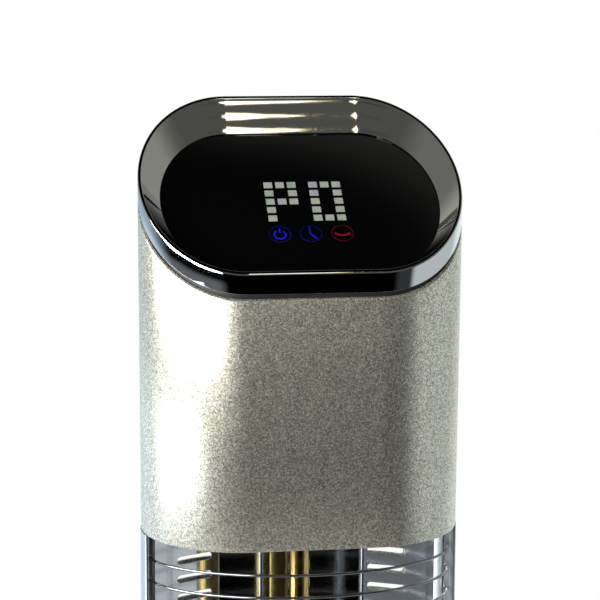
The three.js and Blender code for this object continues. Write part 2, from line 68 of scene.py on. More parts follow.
HEAD_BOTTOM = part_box("head_casing")[0][2]
RIM_RADIUS = span("bezel", 1) / 2
RIM_HALF = span("bezel", 0) / 2 - RIM_RADIUS
RIM_SLOPE = math.tan(math.radians(38.5))
RIM_FRONT = HEAD_BOTTOM + 161.7 * MM
PANEL_INSET = 12.9 * MM
PANEL_DROP = 12.6 * MM
BEZEL_HEIGHT = 11.8 * MM
CASING_DROP = 15.5 * MM

BASE_RADIUS = span("base_cover", 1) / 2
BASE_HALF = span("base_cover", 0) / 2 - BASE_RADIUS
BASE_BOTTOM, BASE_TOP = (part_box("base_cover")[i][2] for i in (0, 1))

WIRE_RADIUS = 0.8 * MM
WIRE_PITCH = 13.4 * MM
WIRE_COUNT = 35
TOP_WIRE = HEAD_BOTTOM - 16.3 * MM
GUARD_WIDTH = 90.7 * MM
GUARD_DEPTH = 54.1 * MM
FLANGE_Y = -3 * MM
ROD_X = 30 * MM

ARC_STEPS = 64

# ---------------------------------------------------------------- materials


class Finish:
    """A material around one Principled shader, with short calls for the nodes that feed it."""

    def __init__(self, name, color, roughness, metallic=0.0, **values):
        self.material = bpy.data.materials.new(name)
        self.material.use_nodes = True
        self.tree = self.material.node_tree
        self.shader = self.tree.nodes["Principled BSDF"]
        self.shader.inputs["Base Color"].default_value = (*color, 1)
        self.shader.inputs["Roughness"].default_value = roughness
        self.shader.inputs["Metallic"].default_value = metallic
        for socket, value in values.items():
            self.shader.inputs[socket.replace("_", " ")].default_value = value
        self.place = self.add("ShaderNodeTexCoord").outputs["Object"]

    def add(self, kind, **settings):
        node = self.tree.nodes.new(kind)
        for key, value in settings.items():
            setattr(node, key, value)
        return node

    def feed(self, source, socket):
        self.tree.links.new(source, self.shader.inputs[socket])

    def stretched(self, scale):
        mapping = self.add("ShaderNodeMapping")
        mapping.inputs["Scale"].default_value = scale
        self.tree.links.new(self.place, mapping.inputs["Vector"])
        return mapping.outputs["Vector"]

    def noise(self, scale, detail=3.0, roughness=0.5, stretch=(1, 1, 1)):
        node = self.add("ShaderNodeTexNoise")
        node.inputs["Scale"].default_value = scale
        node.inputs["Detail"].default_value = detail
        node.inputs["Roughness"].default_value = roughness
        self.tree.links.new(self.stretched(stretch), node.inputs["Vector"])
        return node.outputs["Fac"]

    def cells(self, scale):
        node = self.add("ShaderNodeTexVoronoi")
        node.inputs["Scale"].default_value = scale
        self.tree.links.new(self.place, node.inputs["Vector"])
        return node

    def spread(self, source, low, high, start=0.0, end=1.0):
        node = self.add("ShaderNodeMapRange")
        for socket, value in (("From Min", start), ("From Max", end), ("To Min", low), ("To Max", high)):
            node.inputs[socket].default_value = value
        self.tree.links.new(source, node.inputs["Value"])
        return node.outputs["Result"]

    def ramp(self, source, stops):
        node = self.add("ShaderNodeValToRGB")
        elements = node.color_ramp.elements
        while len(elements) < len(stops):
            elements.new(0.5)
        for element, (position, color) in zip(elements, stops):
            element.position = position
            element.color = (*color, 1)
        self.tree.links.new(source, node.inputs["Fac"])
        return node.outputs["Color"]

    def bump(self, source, height):
        node = self.add("ShaderNodeBump")
        node.inputs["Distance"].default_value = height
        self.tree.links.new(source, node.inputs["Height"])
        self.feed(node.outputs["Normal"], "Normal")


def shade(color, factor):
    return tuple(c * factor for c in color)


FLAKE = 0.6 * MM
ORANGE_PEEL = 0.45 * MM


def flake_paint(name, color, depth):
    """Satin metallic paint. Each flake is a little lighter, darker, smoother or rougher than the next."""
    finish = Finish(name, color, 0.35, 0.91)
    flakes = finish.cells(1 / FLAKE)
    tone = finish.add("ShaderNodeSeparateColor")
    finish.tree.links.new(flakes.outputs["Color"], tone.inputs["Color"])
    stops = [(0, shade(color, 1 - depth)), (0.55, color), (0.86, shade(color, 1 + depth * 0.7)),
             (1, shade(color, 1 + depth * 1.6))]
    finish.feed(finish.ramp(tone.outputs["Red"], stops), "Base Color")
    finish.feed(finish.spread(tone.outputs["Green"], 0.26, 0.38), "Roughness")
    finish.bump(finish.noise(1 / ORANGE_PEEL, 2), 0.015 * MM)
    return finish.material


def chrome(name, color, wave):
    """Plated plastic: a mirror with slow ripples from the moulding under the plating."""
    finish = Finish(name, color, 0.035, 1.0)
    ripple = finish.noise(38, 2, 0.4, (0.35, 1, 1))
    finish.bump(ripple, wave)
    haze = finish.noise(900, 4)
    finish.feed(finish.spread(haze, 0.02, 0.07, 0.4, 0.75), "Roughness")
    return finish.material


def wire_chrome():
    """Plated steel wire, darkened by its thin plating and faintly drawn along its length."""
    finish = Finish("wire_chrome", (0.3, 0.31, 0.33), 0.1, 1.0)
    drawn = finish.noise(700, 3)
    finish.feed(finish.spread(drawn, 0.06, 0.2, 0.35, 0.7), "Roughness")
    finish.bump(finish.noise(1500, 2), 0.006 * MM)
    return finish.material


def mirror_sheet():
    """Rolled aluminium reflector sheet, with faint lines along its length."""
    finish = Finish("mirror_sheet", (0.72, 0.74, 0.76), 0.08, 1.0)
    lines = finish.noise(260, 4, 0.6, (1, 1, 0.02))
    finish.bump(lines, 0.02 * MM)
    finish.feed(finish.spread(finish.noise(60, 3), 0.05, 0.14), "Roughness")
    return finish.material


def satin_aluminium():
    """Aluminium brushed along Z."""
    finish = Finish("satin_aluminium", (0.7, 0.72, 0.74), 0.3, 1.0)
    brushed = finish.noise(2200, 3, 0.6, (1, 1, 0.01))
    tone = finish.ramp(brushed, [(0.3, (0.62, 0.64, 0.66)), (0.7, (0.76, 0.78, 0.8))])
    finish.feed(tone, "Base Color")
    finish.feed(finish.spread(brushed, 0.22, 0.38), "Roughness")
    finish.bump(brushed, 0.004 * MM)
    return finish.material


def black_glass():
    """Polished black glass with a speck of dust every centimetre or so."""
    black = (0.001, 0.001, 0.0012)
    finish = Finish("black_glass", black, 0.04, 0.0)
    dust = finish.cells(1 / (9 * MM)).outputs["Distance"]
    specks = finish.ramp(dust, [(0, (0.05, 0.05, 0.055)), (0.012, black)])
    finish.feed(specks, "Base Color")
    finish.feed(finish.spread(finish.noise(45, 4), 0.025, 0.07, 0.35, 0.75), "Roughness")
    return finish.material


def led_face():
    """Lit dots. The tint drifts from dot to dot, and each dot has a fine grain."""
    finish = Finish("led_face", (0.03, 0.03, 0.03), 0.4)
    tint = finish.ramp(
        finish.noise(118, 0),
        [(0.3, (0.40, 0.52, 0.42)), (0.42, (0.60, 0.62, 0.44)), (0.52, (0.44, 0.56, 0.52)),
         (0.6, (0.66, 0.56, 0.52)), (0.7, (0.48, 0.50, 0.58))],
    )
    grain = finish.spread(finish.cells(1 / (0.9 * MM)).outputs["Distance"], 0.7, 0.45, 0, 0.8)
    finish.feed(tint, "Emission Color")
    finish.feed(grain, "Emission Strength")
    return finish.material


def lit_icon(name, color):
    """A touch icon lit from behind, brighter in the middle of its strokes' run."""
    finish = Finish(name, shade(color, 0.1), 0.3)
    glow = finish.noise(170, 1)
    finish.shader.inputs["Emission Color"].default_value = (*color, 1)
    finish.feed(finish.spread(glow, 0.25, 0.95, 0.35, 0.65), "Emission Strength")
    return finish.material


def moulded(name, color, roughness, grain=0.03 * MM):
    """Moulded plastic or rubber with a spark-eroded grain."""
    finish = Finish(name, color, roughness)
    texture = finish.noise(1 / (0.6 * MM), 3)
    tone = [(0.3, shade(color, 0.8)), (0.7, shade(color, 1.25))]
    finish.feed(finish.ramp(finish.noise(90, 4), tone), "Base Color")
    finish.feed(finish.spread(texture, roughness - 0.06, roughness + 0.08), "Roughness")
    finish.bump(texture, grain)
    return finish.material


def plated_steel():
    """Zinc plate with crystals a few millimetres across."""
    finish = Finish("plated_steel", (0.5, 0.5, 0.5), 0.32, 1.0)
    crystals = finish.cells(1 / (4 * MM)).outputs["Distance"]
    finish.feed(finish.ramp(crystals, [(0, (0.42, 0.42, 0.43)), (1, (0.6, 0.6, 0.6))]), "Base Color")
    finish.feed(finish.spread(finish.noise(300, 4), 0.24, 0.42), "Roughness")
    return finish.material


def gold_quartz():
    """Quartz tube with a thin gold coat, thicker in some bands than in others."""
    finish = Finish("gold_quartz", (0.62, 0.42, 0.12), 0.12, 1.0, Coat_Weight=0.6, Coat_Roughness=0.03)
    bands = finish.noise(60, 4, 0.6, (1, 1, 0.15))
    finish.feed(finish.ramp(bands, [(0.3, (0.5, 0.33, 0.09)), (0.7, (0.78, 0.55, 0.2))]), "Base Color")
    finish.feed(finish.spread(bands, 0.08, 0.2), "Roughness")
    return finish.material


def ceramic():
    """Unglazed ceramic with fine pores."""
    finish = Finish("ceramic", (0.8, 0.77, 0.7), 0.65)
    pores = finish.noise(1200, 4)
    finish.feed(finish.ramp(pores, [(0.35, (0.7, 0.66, 0.58)), (0.6, (0.82, 0.79, 0.72))]), "Base Color")
    finish.bump(pores, 0.05 * MM)
    return finish.material


def circuit_board():
    """Solder mask over copper tracks, which show as straight lighter bands."""
    finish = Finish("circuit_board", (0.03, 0.2, 0.08), 0.35)
    tracks = finish.add("ShaderNodeTexBrick")
    tracks.inputs["Scale"].default_value = 90
    tracks.inputs["Color1"].default_value = (0.02, 0.16, 0.06, 1)
    tracks.inputs["Color2"].default_value = (0.03, 0.2, 0.08, 1)
    tracks.inputs["Mortar"].default_value = (0.08, 0.34, 0.14, 1)
    finish.tree.links.new(finish.place, tracks.inputs["Vector"])
    finish.feed(tracks.outputs["Color"], "Base Color")
    return finish.material


SILVER = flake_paint("flake_silver", (0.69, 0.66, 0.55), 0.55)
BASE_SILVER = flake_paint("flake_silver_base", (0.56, 0.56, 0.55), 0.26)
CHROME = chrome("bezel_chrome", (0.74, 0.75, 0.755), 0.35 * MM)
WIRE = wire_chrome()
MIRROR = mirror_sheet()
ALUMINIUM = satin_aluminium()
GLASS = black_glass()
LED = led_face()
ICON_BLUE = lit_icon("icon_blue", (0.01, 0.01, 0.62))
ICON_BLUE_DIM = lit_icon("icon_blue_dim", (0.002, 0.003, 0.2))
ICON_RED = lit_icon("icon_red", (0.36, 0.0, 0.012))
ICON_RED_DIM = lit_icon("icon_red_dim", (0.12, 0.001, 0.003))
BLACK = moulded("black_plastic", (0.012, 0.012, 0.013), 0.45)
BLACK_GLOSS = moulded("black_gloss", (0.01, 0.01, 0.011), 0.14, 0.004 * MM)
POWDER_BLACK = moulded("powder_black", (0.02, 0.02, 0.022), 0.5, 0.08 * MM)
RUBBER = moulded("rubber", (0.02, 0.02, 0.02), 0.75, 0.05 * MM)
NYLON = moulded("nylon", (0.72, 0.71, 0.66), 0.42)
STEEL = plated_steel()
GOLD = gold_quartz()
CERAMIC = ceramic()
BOARD = circuit_board()

# ---------------------------------------------------------------- mesh building


CREASE = 35  # degrees


def finish_mesh(name, mesh, material, body, nodes, crease=CREASE):
    """Makes a mesh a piece on its body. nodes are the CAD nodes that it takes the place of."""
    piece = bpy.data.objects.new(name, mesh)
    bpy.context.collection.objects.link(piece)
    mesh.materials.append(material)
    mesh.polygons.foreach_set("use_smooth", [True] * len(mesh.polygons))
    mesh.set_sharp_from_angle(angle=math.radians(crease))
    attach(piece, body)
    if nodes:
        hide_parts(*nodes)
    return piece


def mesh_from(bm, name):
    bmesh.ops.remove_doubles(bm, verts=bm.verts, dist=1e-7)
    bmesh.ops.recalc_face_normals(bm, faces=bm.faces)
    mesh = bpy.data.meshes.new(name)
    bm.to_mesh(mesh)
    bm.free()
    return mesh


def add_rings(bm, rings, closed):
    """Joins rings of equal length. A closed run returns to its first ring, an open one is capped."""
    rows = [[bm.verts.new(p) for p in ring] for ring in rings]
    count = len(rows[0])
    for a, b in zip(rows, rows[1:] + (rows[:1] if closed else [])):
        for i in range(count):
            j = (i + 1) % count
            bm.faces.new((a[i], a[j], b[j], b[i]))
    if not closed:
        bm.faces.new(rows[0][::-1])
        bm.faces.new(rows[-1])


def rings_mesh(name, rings, closed=True):
    bm = bmesh.new()
    add_rings(bm, rings, closed)
    return mesh_from(bm, name)


def oval(half, radius, height, steps=ARC_STEPS):
    """Two half circles and two straight runs. height is a number, or a function of y."""
    points = []
    for side in (1, -1):
        for i in range(steps + 1):
            angle = -side * math.pi / 2 + math.pi * i / steps
            x, y = side * half + radius * math.cos(angle), radius * math.sin(angle)
            points.append(Vector((x, y, height(y) if callable(height) else height)))
    return points


def rounded(corners, steps=5):
    """A closed outline in which each (x, y, radius) corner is an arc of that radius."""
    outline = []
    count = len(corners)
    for i, (x, y, radius) in enumerate(corners):
        here = Vector((x, y))
        if radius <= 0:
            outline.append(here)
            continue
        back = (Vector(corners[i - 1][:2]) - here).normalized()
        ahead = (Vector(corners[(i + 1) % count][:2]) - here).normalized()
        half = back.angle(ahead) / 2
        centre = here + (back + ahead).normalized() * (radius / math.sin(half))
        reach = radius / math.tan(half)
        start, end = here + back * reach - centre, here + ahead * reach - centre
        turn = start.angle_signed(end)
        for k in range(steps + 1):
            outline.append(centre + Matrix.Rotation(-turn * k / steps, 2) @ start)
    return outline


def turned(name, outline, place, sides=48, axis=None):
    """Turns an (radius, height) outline about Z, then points Z along axis and moves it to place."""
    bm = bmesh.new()
    rings = []
    for i in range(sides):
        spin = Matrix.Rotation(2 * math.pi * i / sides, 3, "Z")
        rings.append([spin @ Vector((r, 0, z)) for r, z in outline])
    add_rings(bm, rings, True)
    if axis is not None:
        lean = Vector(axis).to_track_quat("Z", "Y").to_matrix().to_4x4()
        bmesh.ops.transform(bm, matrix=lean, verts=bm.verts)
    bmesh.ops.translate(bm, vec=place, verts=bm.verts)
    return mesh_from(bm, name)


def slab(outline, low, high):
    """Two rings that raise an (x, y) outline from low to high."""
    return [[Vector((x, y, z)) for x, y in outline] for z in (low, high)]


def carve(piece, cutters):
    """Cuts closed meshes, given as lists of rings, out of a piece."""
    bm = bmesh.new()
    for rings in cutters:
        add_rings(bm, rings, False)
    tool = bpy.data.objects.new("cutter", mesh_from(bm, "cutter"))
    bpy.context.collection.objects.link(tool)
    modifier = piece.modifiers.new("cut", "BOOLEAN")
    modifier.object = tool
    modifier.solver = "EXACT"
    graph = bpy.context.evaluated_depsgraph_get()
    result = bpy.data.meshes.new_from_object(piece.evaluated_get(graph))
    piece.modifiers.clear()
    piece.data = result
    bpy.data.objects.remove(tool)
    result.polygons.foreach_set("use_smooth", [True] * len(result.polygons))
    result.set_sharp_from_angle(angle=math.radians(CREASE))


def slot_cutter(centre, along, out, length, height, depth):
    """A round-ended slot of the given length and height, cut depth deep both ways along out."""
    along, out = Vector(along).normalized(), Vector(out).normalized()
    radius = height / 2
    rim = []
    for side in (1, -1):
        for i in range(9):
            angle = -side * math.pi / 2 + math.pi * i / 8
            across = side * (length / 2 - radius) + radius * math.cos(angle)
            rim.append(along * across + Vector((0, 0, radius * math.sin(angle))))
    return [[Vector(centre) + p + out * depth * sign for p in rim] for sign in (-1, 1)]


def tube_rings(points, radius, sides=10):
    """Rings of a round bar along a path of points."""
    rings = []
    for i, point in enumerate(points):
        ahead = points[min(i + 1, len(points) - 1)] - points[max(i - 1, 0)]
        turn = ahead.to_track_quat("Z", "Y").to_matrix()
        rings.append([
            point + turn @ Vector((radius * math.cos(a), radius * math.sin(a), 0))
            for a in (2 * math.pi * k / sides for k in range(sides))
        ])
    return rings


# ---------------------------------------------------------------- head


def rim(drop):
    """Height of the head's slanted top plane over a line y, lowered by drop."""
    return lambda y: RIM_FRONT + (y + RIM_RADIUS) * RIM_SLOPE - drop


def rim_ring(inset, drop):
    return oval(RIM_HALF, RIM_RADIUS - inset, rim(drop))


def tower_ring(inset, height):
    return oval(TOWER_HALF, TOWER_RADIUS - inset, height)


def soft_edge(size):
    """(inset, rise) steps of a small rounded edge, from the wall inwards."""
    return [(0, size), (0.3 * size, 0.3 * size), (size, 0)]


SHELL_EDGE = 0.7 * MM


def build_casing():
    soft = soft_edge(SHELL_EDGE)
    bottom = [tower_ring(inset, HEAD_BOTTOM + rise) for inset, rise in reversed(soft)]
    top = [rim_ring(inset, CASING_DROP + rise) for inset, rise in soft]
    inner = [rim_ring(WALL, CASING_DROP), tower_ring(WALL, HEAD_BOTTOM)]
    mesh = rings_mesh("casing", bottom + top + inner)
    finish_mesh("casing", mesh, SILVER, "tower", ["head_casing"])


FUNNEL_START = 1.9 * MM
FUNNEL_DEPTH = 11.9 * MM
FUNNEL_BOW = 0.25 * MM
FUNNEL_STEPS = 40
WAVE_LENGTH = 4.4 * MM
WAVE_CREST = 7.4 * MM
WAVE_HEIGHT = 0.16 * MM
WAVE_GROWTH = 1.35  # how much higher the waves are at the lip, as a share
WAVES_FROM = 0.05  # the part of the funnel, from the lip, that stays plain
WAVES_END = 0.8  # the share of the half depth at which the waves have died away
PANEL_GAP = 0.3 * MM
RING_LIP = 4 * MM
GASKET_OUT, GASKET_IN, GASKET_STEP = 2.2 * MM, 9.2 * MM, 3.7 * MM
GASKET_DROP = 15.7 * MM


def funnel_point(part, waved):
    """The funnel's wall, from its lip (0) to the panel (1): a slope, with two shallow waves if waved."""
    inset = FUNNEL_START + part * (PANEL_INSET - FUNNEL_START)
    bow = FUNNEL_BOW * 4 * part * (1 - part)
    wave = math.sin(2 * math.pi * (inset - WAVE_CREST) / WAVE_LENGTH)
    height = WAVE_HEIGHT * (1 + WAVE_GROWTH * (1 - part) ** 3) if waved else 0
    return (inset, FUNNEL_DEPTH * part + bow - height * wave)


def funnel_ring(part):
    """One ring of the funnel: waved along its straight back, smooth round its ends and its front."""
    ring = []
    for plain, waved in zip(rim_ring(*funnel_point(part, False)), rim_ring(*funnel_point(part, True))):
        radius = RIM_RADIUS - funnel_point(part, False)[0]
        share = min(max((plain.y / radius - WAVES_END) / (1 - WAVES_END), 0), 1)
        ring.append(plain.lerp(waved, share * share * (3 - 2 * share)))
    return ring


def build_bezel():
    corners = [(RING_LIP, BEZEL_HEIGHT, 0), (0, BEZEL_HEIGHT, 0.5 * MM), (0, 0, 0.7 * MM),
               (FUNNEL_START, 0, 0.45 * MM), (*funnel_point(WAVES_FROM, False), 0)]
    rings = [rim_ring(inset, drop) for inset, drop in rounded(corners)]
    for i in range(FUNNEL_STEPS):
        rings.append(funnel_ring(WAVES_FROM + (1 - WAVES_FROM) * (i + 1) / FUNNEL_STEPS))
    undercut = PANEL_DROP - PANEL_GAP
    rings += [rim_ring(PANEL_INSET - 0.35 * MM, undercut), rim_ring(RING_LIP, undercut)]
    mesh = rings_mesh("bezel_ring", rings)
    ring = finish_mesh("bezel_ring", mesh, CHROME, "tower", ["bezel"], 50).data
    for edge in ring.edges:  # a hard line where the straight sides meet the round ends
        if all(abs(abs(ring.vertices[i].co.x) - RIM_HALF) < 0.01 * MM for i in edge.vertices):
            edge.use_edge_sharp = True

    top = BEZEL_HEIGHT + 0.3 * MM
    corners = [(GASKET_OUT, GASKET_DROP, 0), (GASKET_OUT, top, 0.4 * MM), (GASKET_STEP, top, 0),
               (GASKET_STEP, PANEL_DROP, 0), (GASKET_IN, PANEL_DROP, 0), (GASKET_IN, GASKET_DROP, 0)]
    mesh = rings_mesh("gasket_ring", [rim_ring(inset, drop) for inset, drop in rounded(corners)])
    finish_mesh("gasket_ring", mesh, BLACK, "tower", ["bezel_gasket"])


def on_panel(x, up, lift=0.0):
    """A point on the panel's face: x across, up along the slope from the line y = 0."""
    lean = math.atan(RIM_SLOPE)
    y = up * math.cos(lean)
    point = Vector((x, y, rim(PANEL_DROP)(y)))
    return point + Vector((0, -math.sin(lean), math.cos(lean))) * lift


PRINT = 0.06 * MM  # how far the lit shapes stand proud of the panel
DOT_PITCH = (6.99 * MM, 6.78 * MM)
DOT_HALF = (2.58 * MM, 2.38 * MM)
DOT_CORNER = 0.35 * MM
DISPLAY_X = 2.4 * MM
DISPLAY_UP = 0.85 * MM
LETTER_P = ["###", "# #", "###", "#  ", "#  "]
DIGIT_0 = ["###", "# #", "# #", "# #", "###"]
SECOND_SIGN = 3.83  # the second sign's first column, in dot pitches
GLASS_INSET = 9.5 * MM
GLASS_THICKNESS = 3 * MM
GLASS_EDGE = 0.6 * MM


def panel_shape(bm, outline):
    """Adds a thin plate with the given (x, up) outline to the panel's face."""
    rings = [[on_panel(x, up, lift) for x, up in outline] for lift in (0.01 * MM, PRINT)]
    add_rings(bm, rings, False)


def build_display():
    edge = [(0, GLASS_THICKNESS)] + soft_edge(GLASS_EDGE)
    rings = [oval(RIM_HALF, RIM_RADIUS - GLASS_INSET - a, rim(PANEL_DROP + b)) for a, b in edge]
    mesh = rings_mesh("touch_panel", rings, closed=False)
    finish_mesh("touch_panel", mesh, GLASS, "tower", ["display_panel"])

    bm = bmesh.new()
    centre_column = (SECOND_SIGN + 2) / 2
    for rows, first in ((LETTER_P, 0), (DIGIT_0, SECOND_SIGN)):
        for row, marks in enumerate(rows):
            for column, mark in enumerate(marks):
                if mark == " ":
                    continue
                x = DISPLAY_X + (first + column - centre_column) * DOT_PITCH[0]
                up = DISPLAY_UP + (2 - row) * DOT_PITCH[1]
                corners = [(x + a * DOT_HALF[0], up + b * DOT_HALF[1], DOT_CORNER)
                           for a, b in ((-1, -1), (-1, 1), (1, 1), (1, -1))]
                panel_shape(bm, rounded(corners, 3))
    mesh = mesh_from(bm, "display_dots")
    finish_mesh("display_dots", mesh, LED, "tower", [])


def arc_band(x, up, radius, width, start, end, steps=40):
    """The outline of an arc stroke between two angles in degrees, with square ends."""
    sweep = [math.radians(start + (end - start) * i / steps) for i in range(steps + 1)]
    wide, tight = radius + width / 2, radius - width / 2
    outer = [(x + wide * math.cos(a), up + wide * math.sin(a)) for a in sweep]
    inner = [(x + tight * math.cos(a), up + tight * math.sin(a)) for a in sweep]
    return outer, inner[::-1]


def panel_arc(bm, x, up, radius, width, start, end):
    outer, inner = arc_band(x, up, radius, width, start, end)
    count = len(outer)
    for i in range(count - 1):
        quad = [outer[i], outer[i + 1], inner[count - 2 - i], inner[count - 1 - i]]
        panel_shape(bm, quad)


def panel_stroke(bm, start, end, width):
    along = (Vector(end) - Vector(start)).normalized()
    side = Vector((-along.y, along.x)) * width / 2
    panel_shape(bm, [Vector(start) + side, Vector(end) + side, Vector(end) - side, Vector(start) - side])


ICON_UP = -25.4 * MM
ICON_RING = 6.3 * MM
RING_WIDTH = 0.35 * MM
STROKE = 1.0 * MM
POWER_X, TIMER_X, SWING_X = -15.2 * MM, 3.0 * MM, 21.6 * MM


def icon(name, material, draw):
    bm = bmesh.new()
    draw(bm)
    finish_mesh(name, mesh_from(bm, name), material, "tower", [])


def build_icons():
    def rings(xs):
        return lambda bm: [panel_arc(bm, x, ICON_UP, ICON_RING, RING_WIDTH, 0, 360) for x in xs]

    def power_and_timer(bm):
        panel_arc(bm, POWER_X, ICON_UP - 0.4 * MM, 3.4 * MM, STROKE, 125, 415)
        panel_stroke(bm, (POWER_X, ICON_UP + 0.8 * MM), (POWER_X, ICON_UP + 4.4 * MM), STROKE)
        elbow = (TIMER_X - 0.4 * MM, ICON_UP + 0.2 * MM)
        panel_stroke(bm, (TIMER_X - 0.4 * MM, ICON_UP + 5.6 * MM), elbow, STROKE)
        panel_stroke(bm, elbow, (TIMER_X + 3.4 * MM, ICON_UP - 4.2 * MM), STROKE)

    def smile(bm):
        panel_arc(bm, SWING_X, ICON_UP + 4.4 * MM, 6.0 * MM, 1.2 * STROKE, 222, 318)

    icon("touch_rings", ICON_BLUE_DIM, rings((POWER_X, TIMER_X)))
    icon("swing_ring", ICON_RED_DIM, rings((SWING_X,)))
    icon("power_and_timer", ICON_BLUE, power_and_timer)
    icon("swing_mark", ICON_RED, smile)


# ---------------------------------------------------------------- radiant section


def side_point(side, degrees, radius):
    angle = math.radians(degrees)
    return (side * (TOWER_HALF + radius * math.cos(angle)), radius * math.sin(angle))


def side_arc(side, start, end, radius, steps):
    return [side_point(side, start + (end - start) * i / steps, radius) for i in range(steps + 1)]


HOLE_X = 90.6 * MM
FLANGE_IN, FLANGE_OUT = 89 * MM, 92.6 * MM
FLANGE_DEPTH = 2.4 * MM
POST_PROUD = 0.4 * MM
POST_BACK, POST_FRONT = 34, -12.4  # degrees round the end of the oval


def build_posts():
    """Both posts: a skin round the tower's end, with a drilled flange for the wires inside it."""
    for name, side in (("right_post", 1), ("left_post", -1)):
        outer = side_arc(side, POST_FRONT, POST_BACK, TOWER_RADIUS + POST_PROUD, 32)
        inner = side_arc(side, POST_BACK, 4, TOWER_RADIUS - 2.2 * MM, 20)
        flange_back = FLANGE_Y + FLANGE_DEPTH
        flange = [(side * (FLANGE_OUT - 0.2 * MM), flange_back), (side * FLANGE_IN, flange_back),
                  (side * FLANGE_IN, FLANGE_Y), (side * FLANGE_OUT, FLANGE_Y)]
        lip = side_arc(side, -4.5, POST_FRONT, TOWER_RADIUS - 1.8 * MM, 8)
        nose = [side_point(side, -13, TOWER_RADIUS - 1.2 * MM), side_point(side, -13, TOWER_RADIUS)]
        rings = slab(outer + inner + flange + lip + nose, SECTION_BOTTOM, SECTION_TOP)
        piece = finish_mesh(name, rings_mesh(name, rings, closed=False), ALUMINIUM, "tower",
                            ["side_post_" + name.split("_")[0]])
        holes = []
        for i in range(WIRE_COUNT):
            centre = (side * HOLE_X, FLANGE_Y, TOP_WIRE - i * WIRE_PITCH)
            holes.append(slot_cutter(centre, (1, 0, 0), (0, 1, 0), 2.5 * MM, 2.4 * MM, 4 * MM))
        carve(piece, holes)


ROD_RADIUS = 1.3 * MM
WELD = (1.5 * MM, 1.2 * MM, 1.3 * MM)


def build_guard():
    """The bent wires, the two upright rods behind them, and a weld bead at each crossing."""
    end = math.asin((-FLANGE_Y - 1.6 * MM) / GUARD_DEPTH)
    steps = 56
    bm = bmesh.new()
    for i in range(WIRE_COUNT):
        z = TOP_WIRE - i * WIRE_PITCH
        path = []
        for k in range(steps + 1):
            angle = end + (math.pi - 2 * end) * k / steps
            path.append(Vector((GUARD_WIDTH * math.cos(angle), -GUARD_DEPTH * math.sin(angle), z)))
        add_rings(bm, tube_rings(path, WIRE_RADIUS), False)
    rod_y = -GUARD_DEPTH * math.sqrt(1 - (ROD_X / GUARD_WIDTH) ** 2) + 2 * MM
    low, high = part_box("wire_guard")[0][2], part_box("wire_guard")[1][2]
    for x in (-ROD_X, ROD_X):
        rod = [Vector((x, rod_y, low + (high - low) * k / 40)) for k in range(41)]
        add_rings(bm, tube_rings(rod, ROD_RADIUS, 14), False)
        for i in range(WIRE_COUNT):
            weld = Matrix.Translation((x, rod_y - 1.1 * MM, TOP_WIRE - i * WIRE_PITCH))
            weld = weld @ Matrix.Diagonal((*WELD, 1))
            bmesh.ops.create_uvsphere(bm, u_segments=10, v_segments=6, radius=1, matrix=weld)
    finish_mesh("guard", mesh_from(bm, "guard"), WIRE, "tower", ["wire_guard"], 60)


def sheet_outline(path, thickness):
    """A bent sheet: the path, and the path moved sideways by its thickness."""
    offset = []
    for i, point in enumerate(path):
        into = (point - path[max(i - 1, 0)]).normalized() if i else (path[1] - point).normalized()
        out = (path[i + 1] - point).normalized() if i + 1 < len(path) else into
        along = (into + out).normalized()
        offset.append(point + Vector((-along.y, along.x)) * thickness / max(along.dot(into), 0.5))
    return path + offset[::-1]


def bent(corners, radius, steps=6):
    """An open path with each inner (x, y) corner rounded."""
    path = [Vector(corners[0])]
    for before, here, after in zip(corners, corners[1:], corners[2:]):
        here = Vector(here)
        back, ahead = (Vector(before) - here).normalized(), (Vector(after) - here).normalized()
        half = back.angle(ahead) / 2
        reach = min(radius / math.tan(half), radius)
        start, end = here + back * reach, here + ahead * reach
        for k in range(steps + 1):
            t = k / steps
            path.append(start * (1 - t) ** 2 + here * 2 * t * (1 - t) + end * t**2)
    path.append(Vector(corners[-1]))
    return path


# The reflector's right half seen from above, in millimetres: side wall, flank and back.
REFLECTOR = [(87.2, -3), (87.2, 16), (44, 36.5), (12, 39.5)]
SHEET = 1.1 * MM
SHEET_BEND = 4 * MM
VENT_ROWS = 38
VENT_PITCH = 11.75 * MM
TOP_VENT = HEAD_BOTTOM - 16.1 * MM
MIRROR_VENT = Vector((60, 28.9, 0)) * MM
MIRROR_VENT_ALONG = Vector((REFLECTOR[2][0] - REFLECTOR[1][0], REFLECTOR[2][1] - REFLECTOR[1][1], 0))
MIRROR_VENT_SIZE = (25 * MM, 4.8 * MM)
COVER_VENT = Vector((58.7, 53.4, -4)) * MM
COVER_VENT_ALONG = Vector((-34, 14.4, 0))
COVER_VENT_SIZE = (35 * MM, 6.4 * MM)
VENT_CUT = 7 * MM


def vent_slots(centre, along, size):
    """Both columns of cooling slots, mirrored about x = 0."""
    slots = []
    for side in (1, -1):
        run = Vector((along.x * side, along.y, 0))
        out = Vector((run.y, -run.x, 0))
        at = Vector((centre.x * side, centre.y, TOP_VENT + centre.z))
        for row in range(VENT_ROWS):
            slots.append(slot_cutter(at - Vector((0, 0, row * VENT_PITCH)), run, out, *size, VENT_CUT))
    return slots


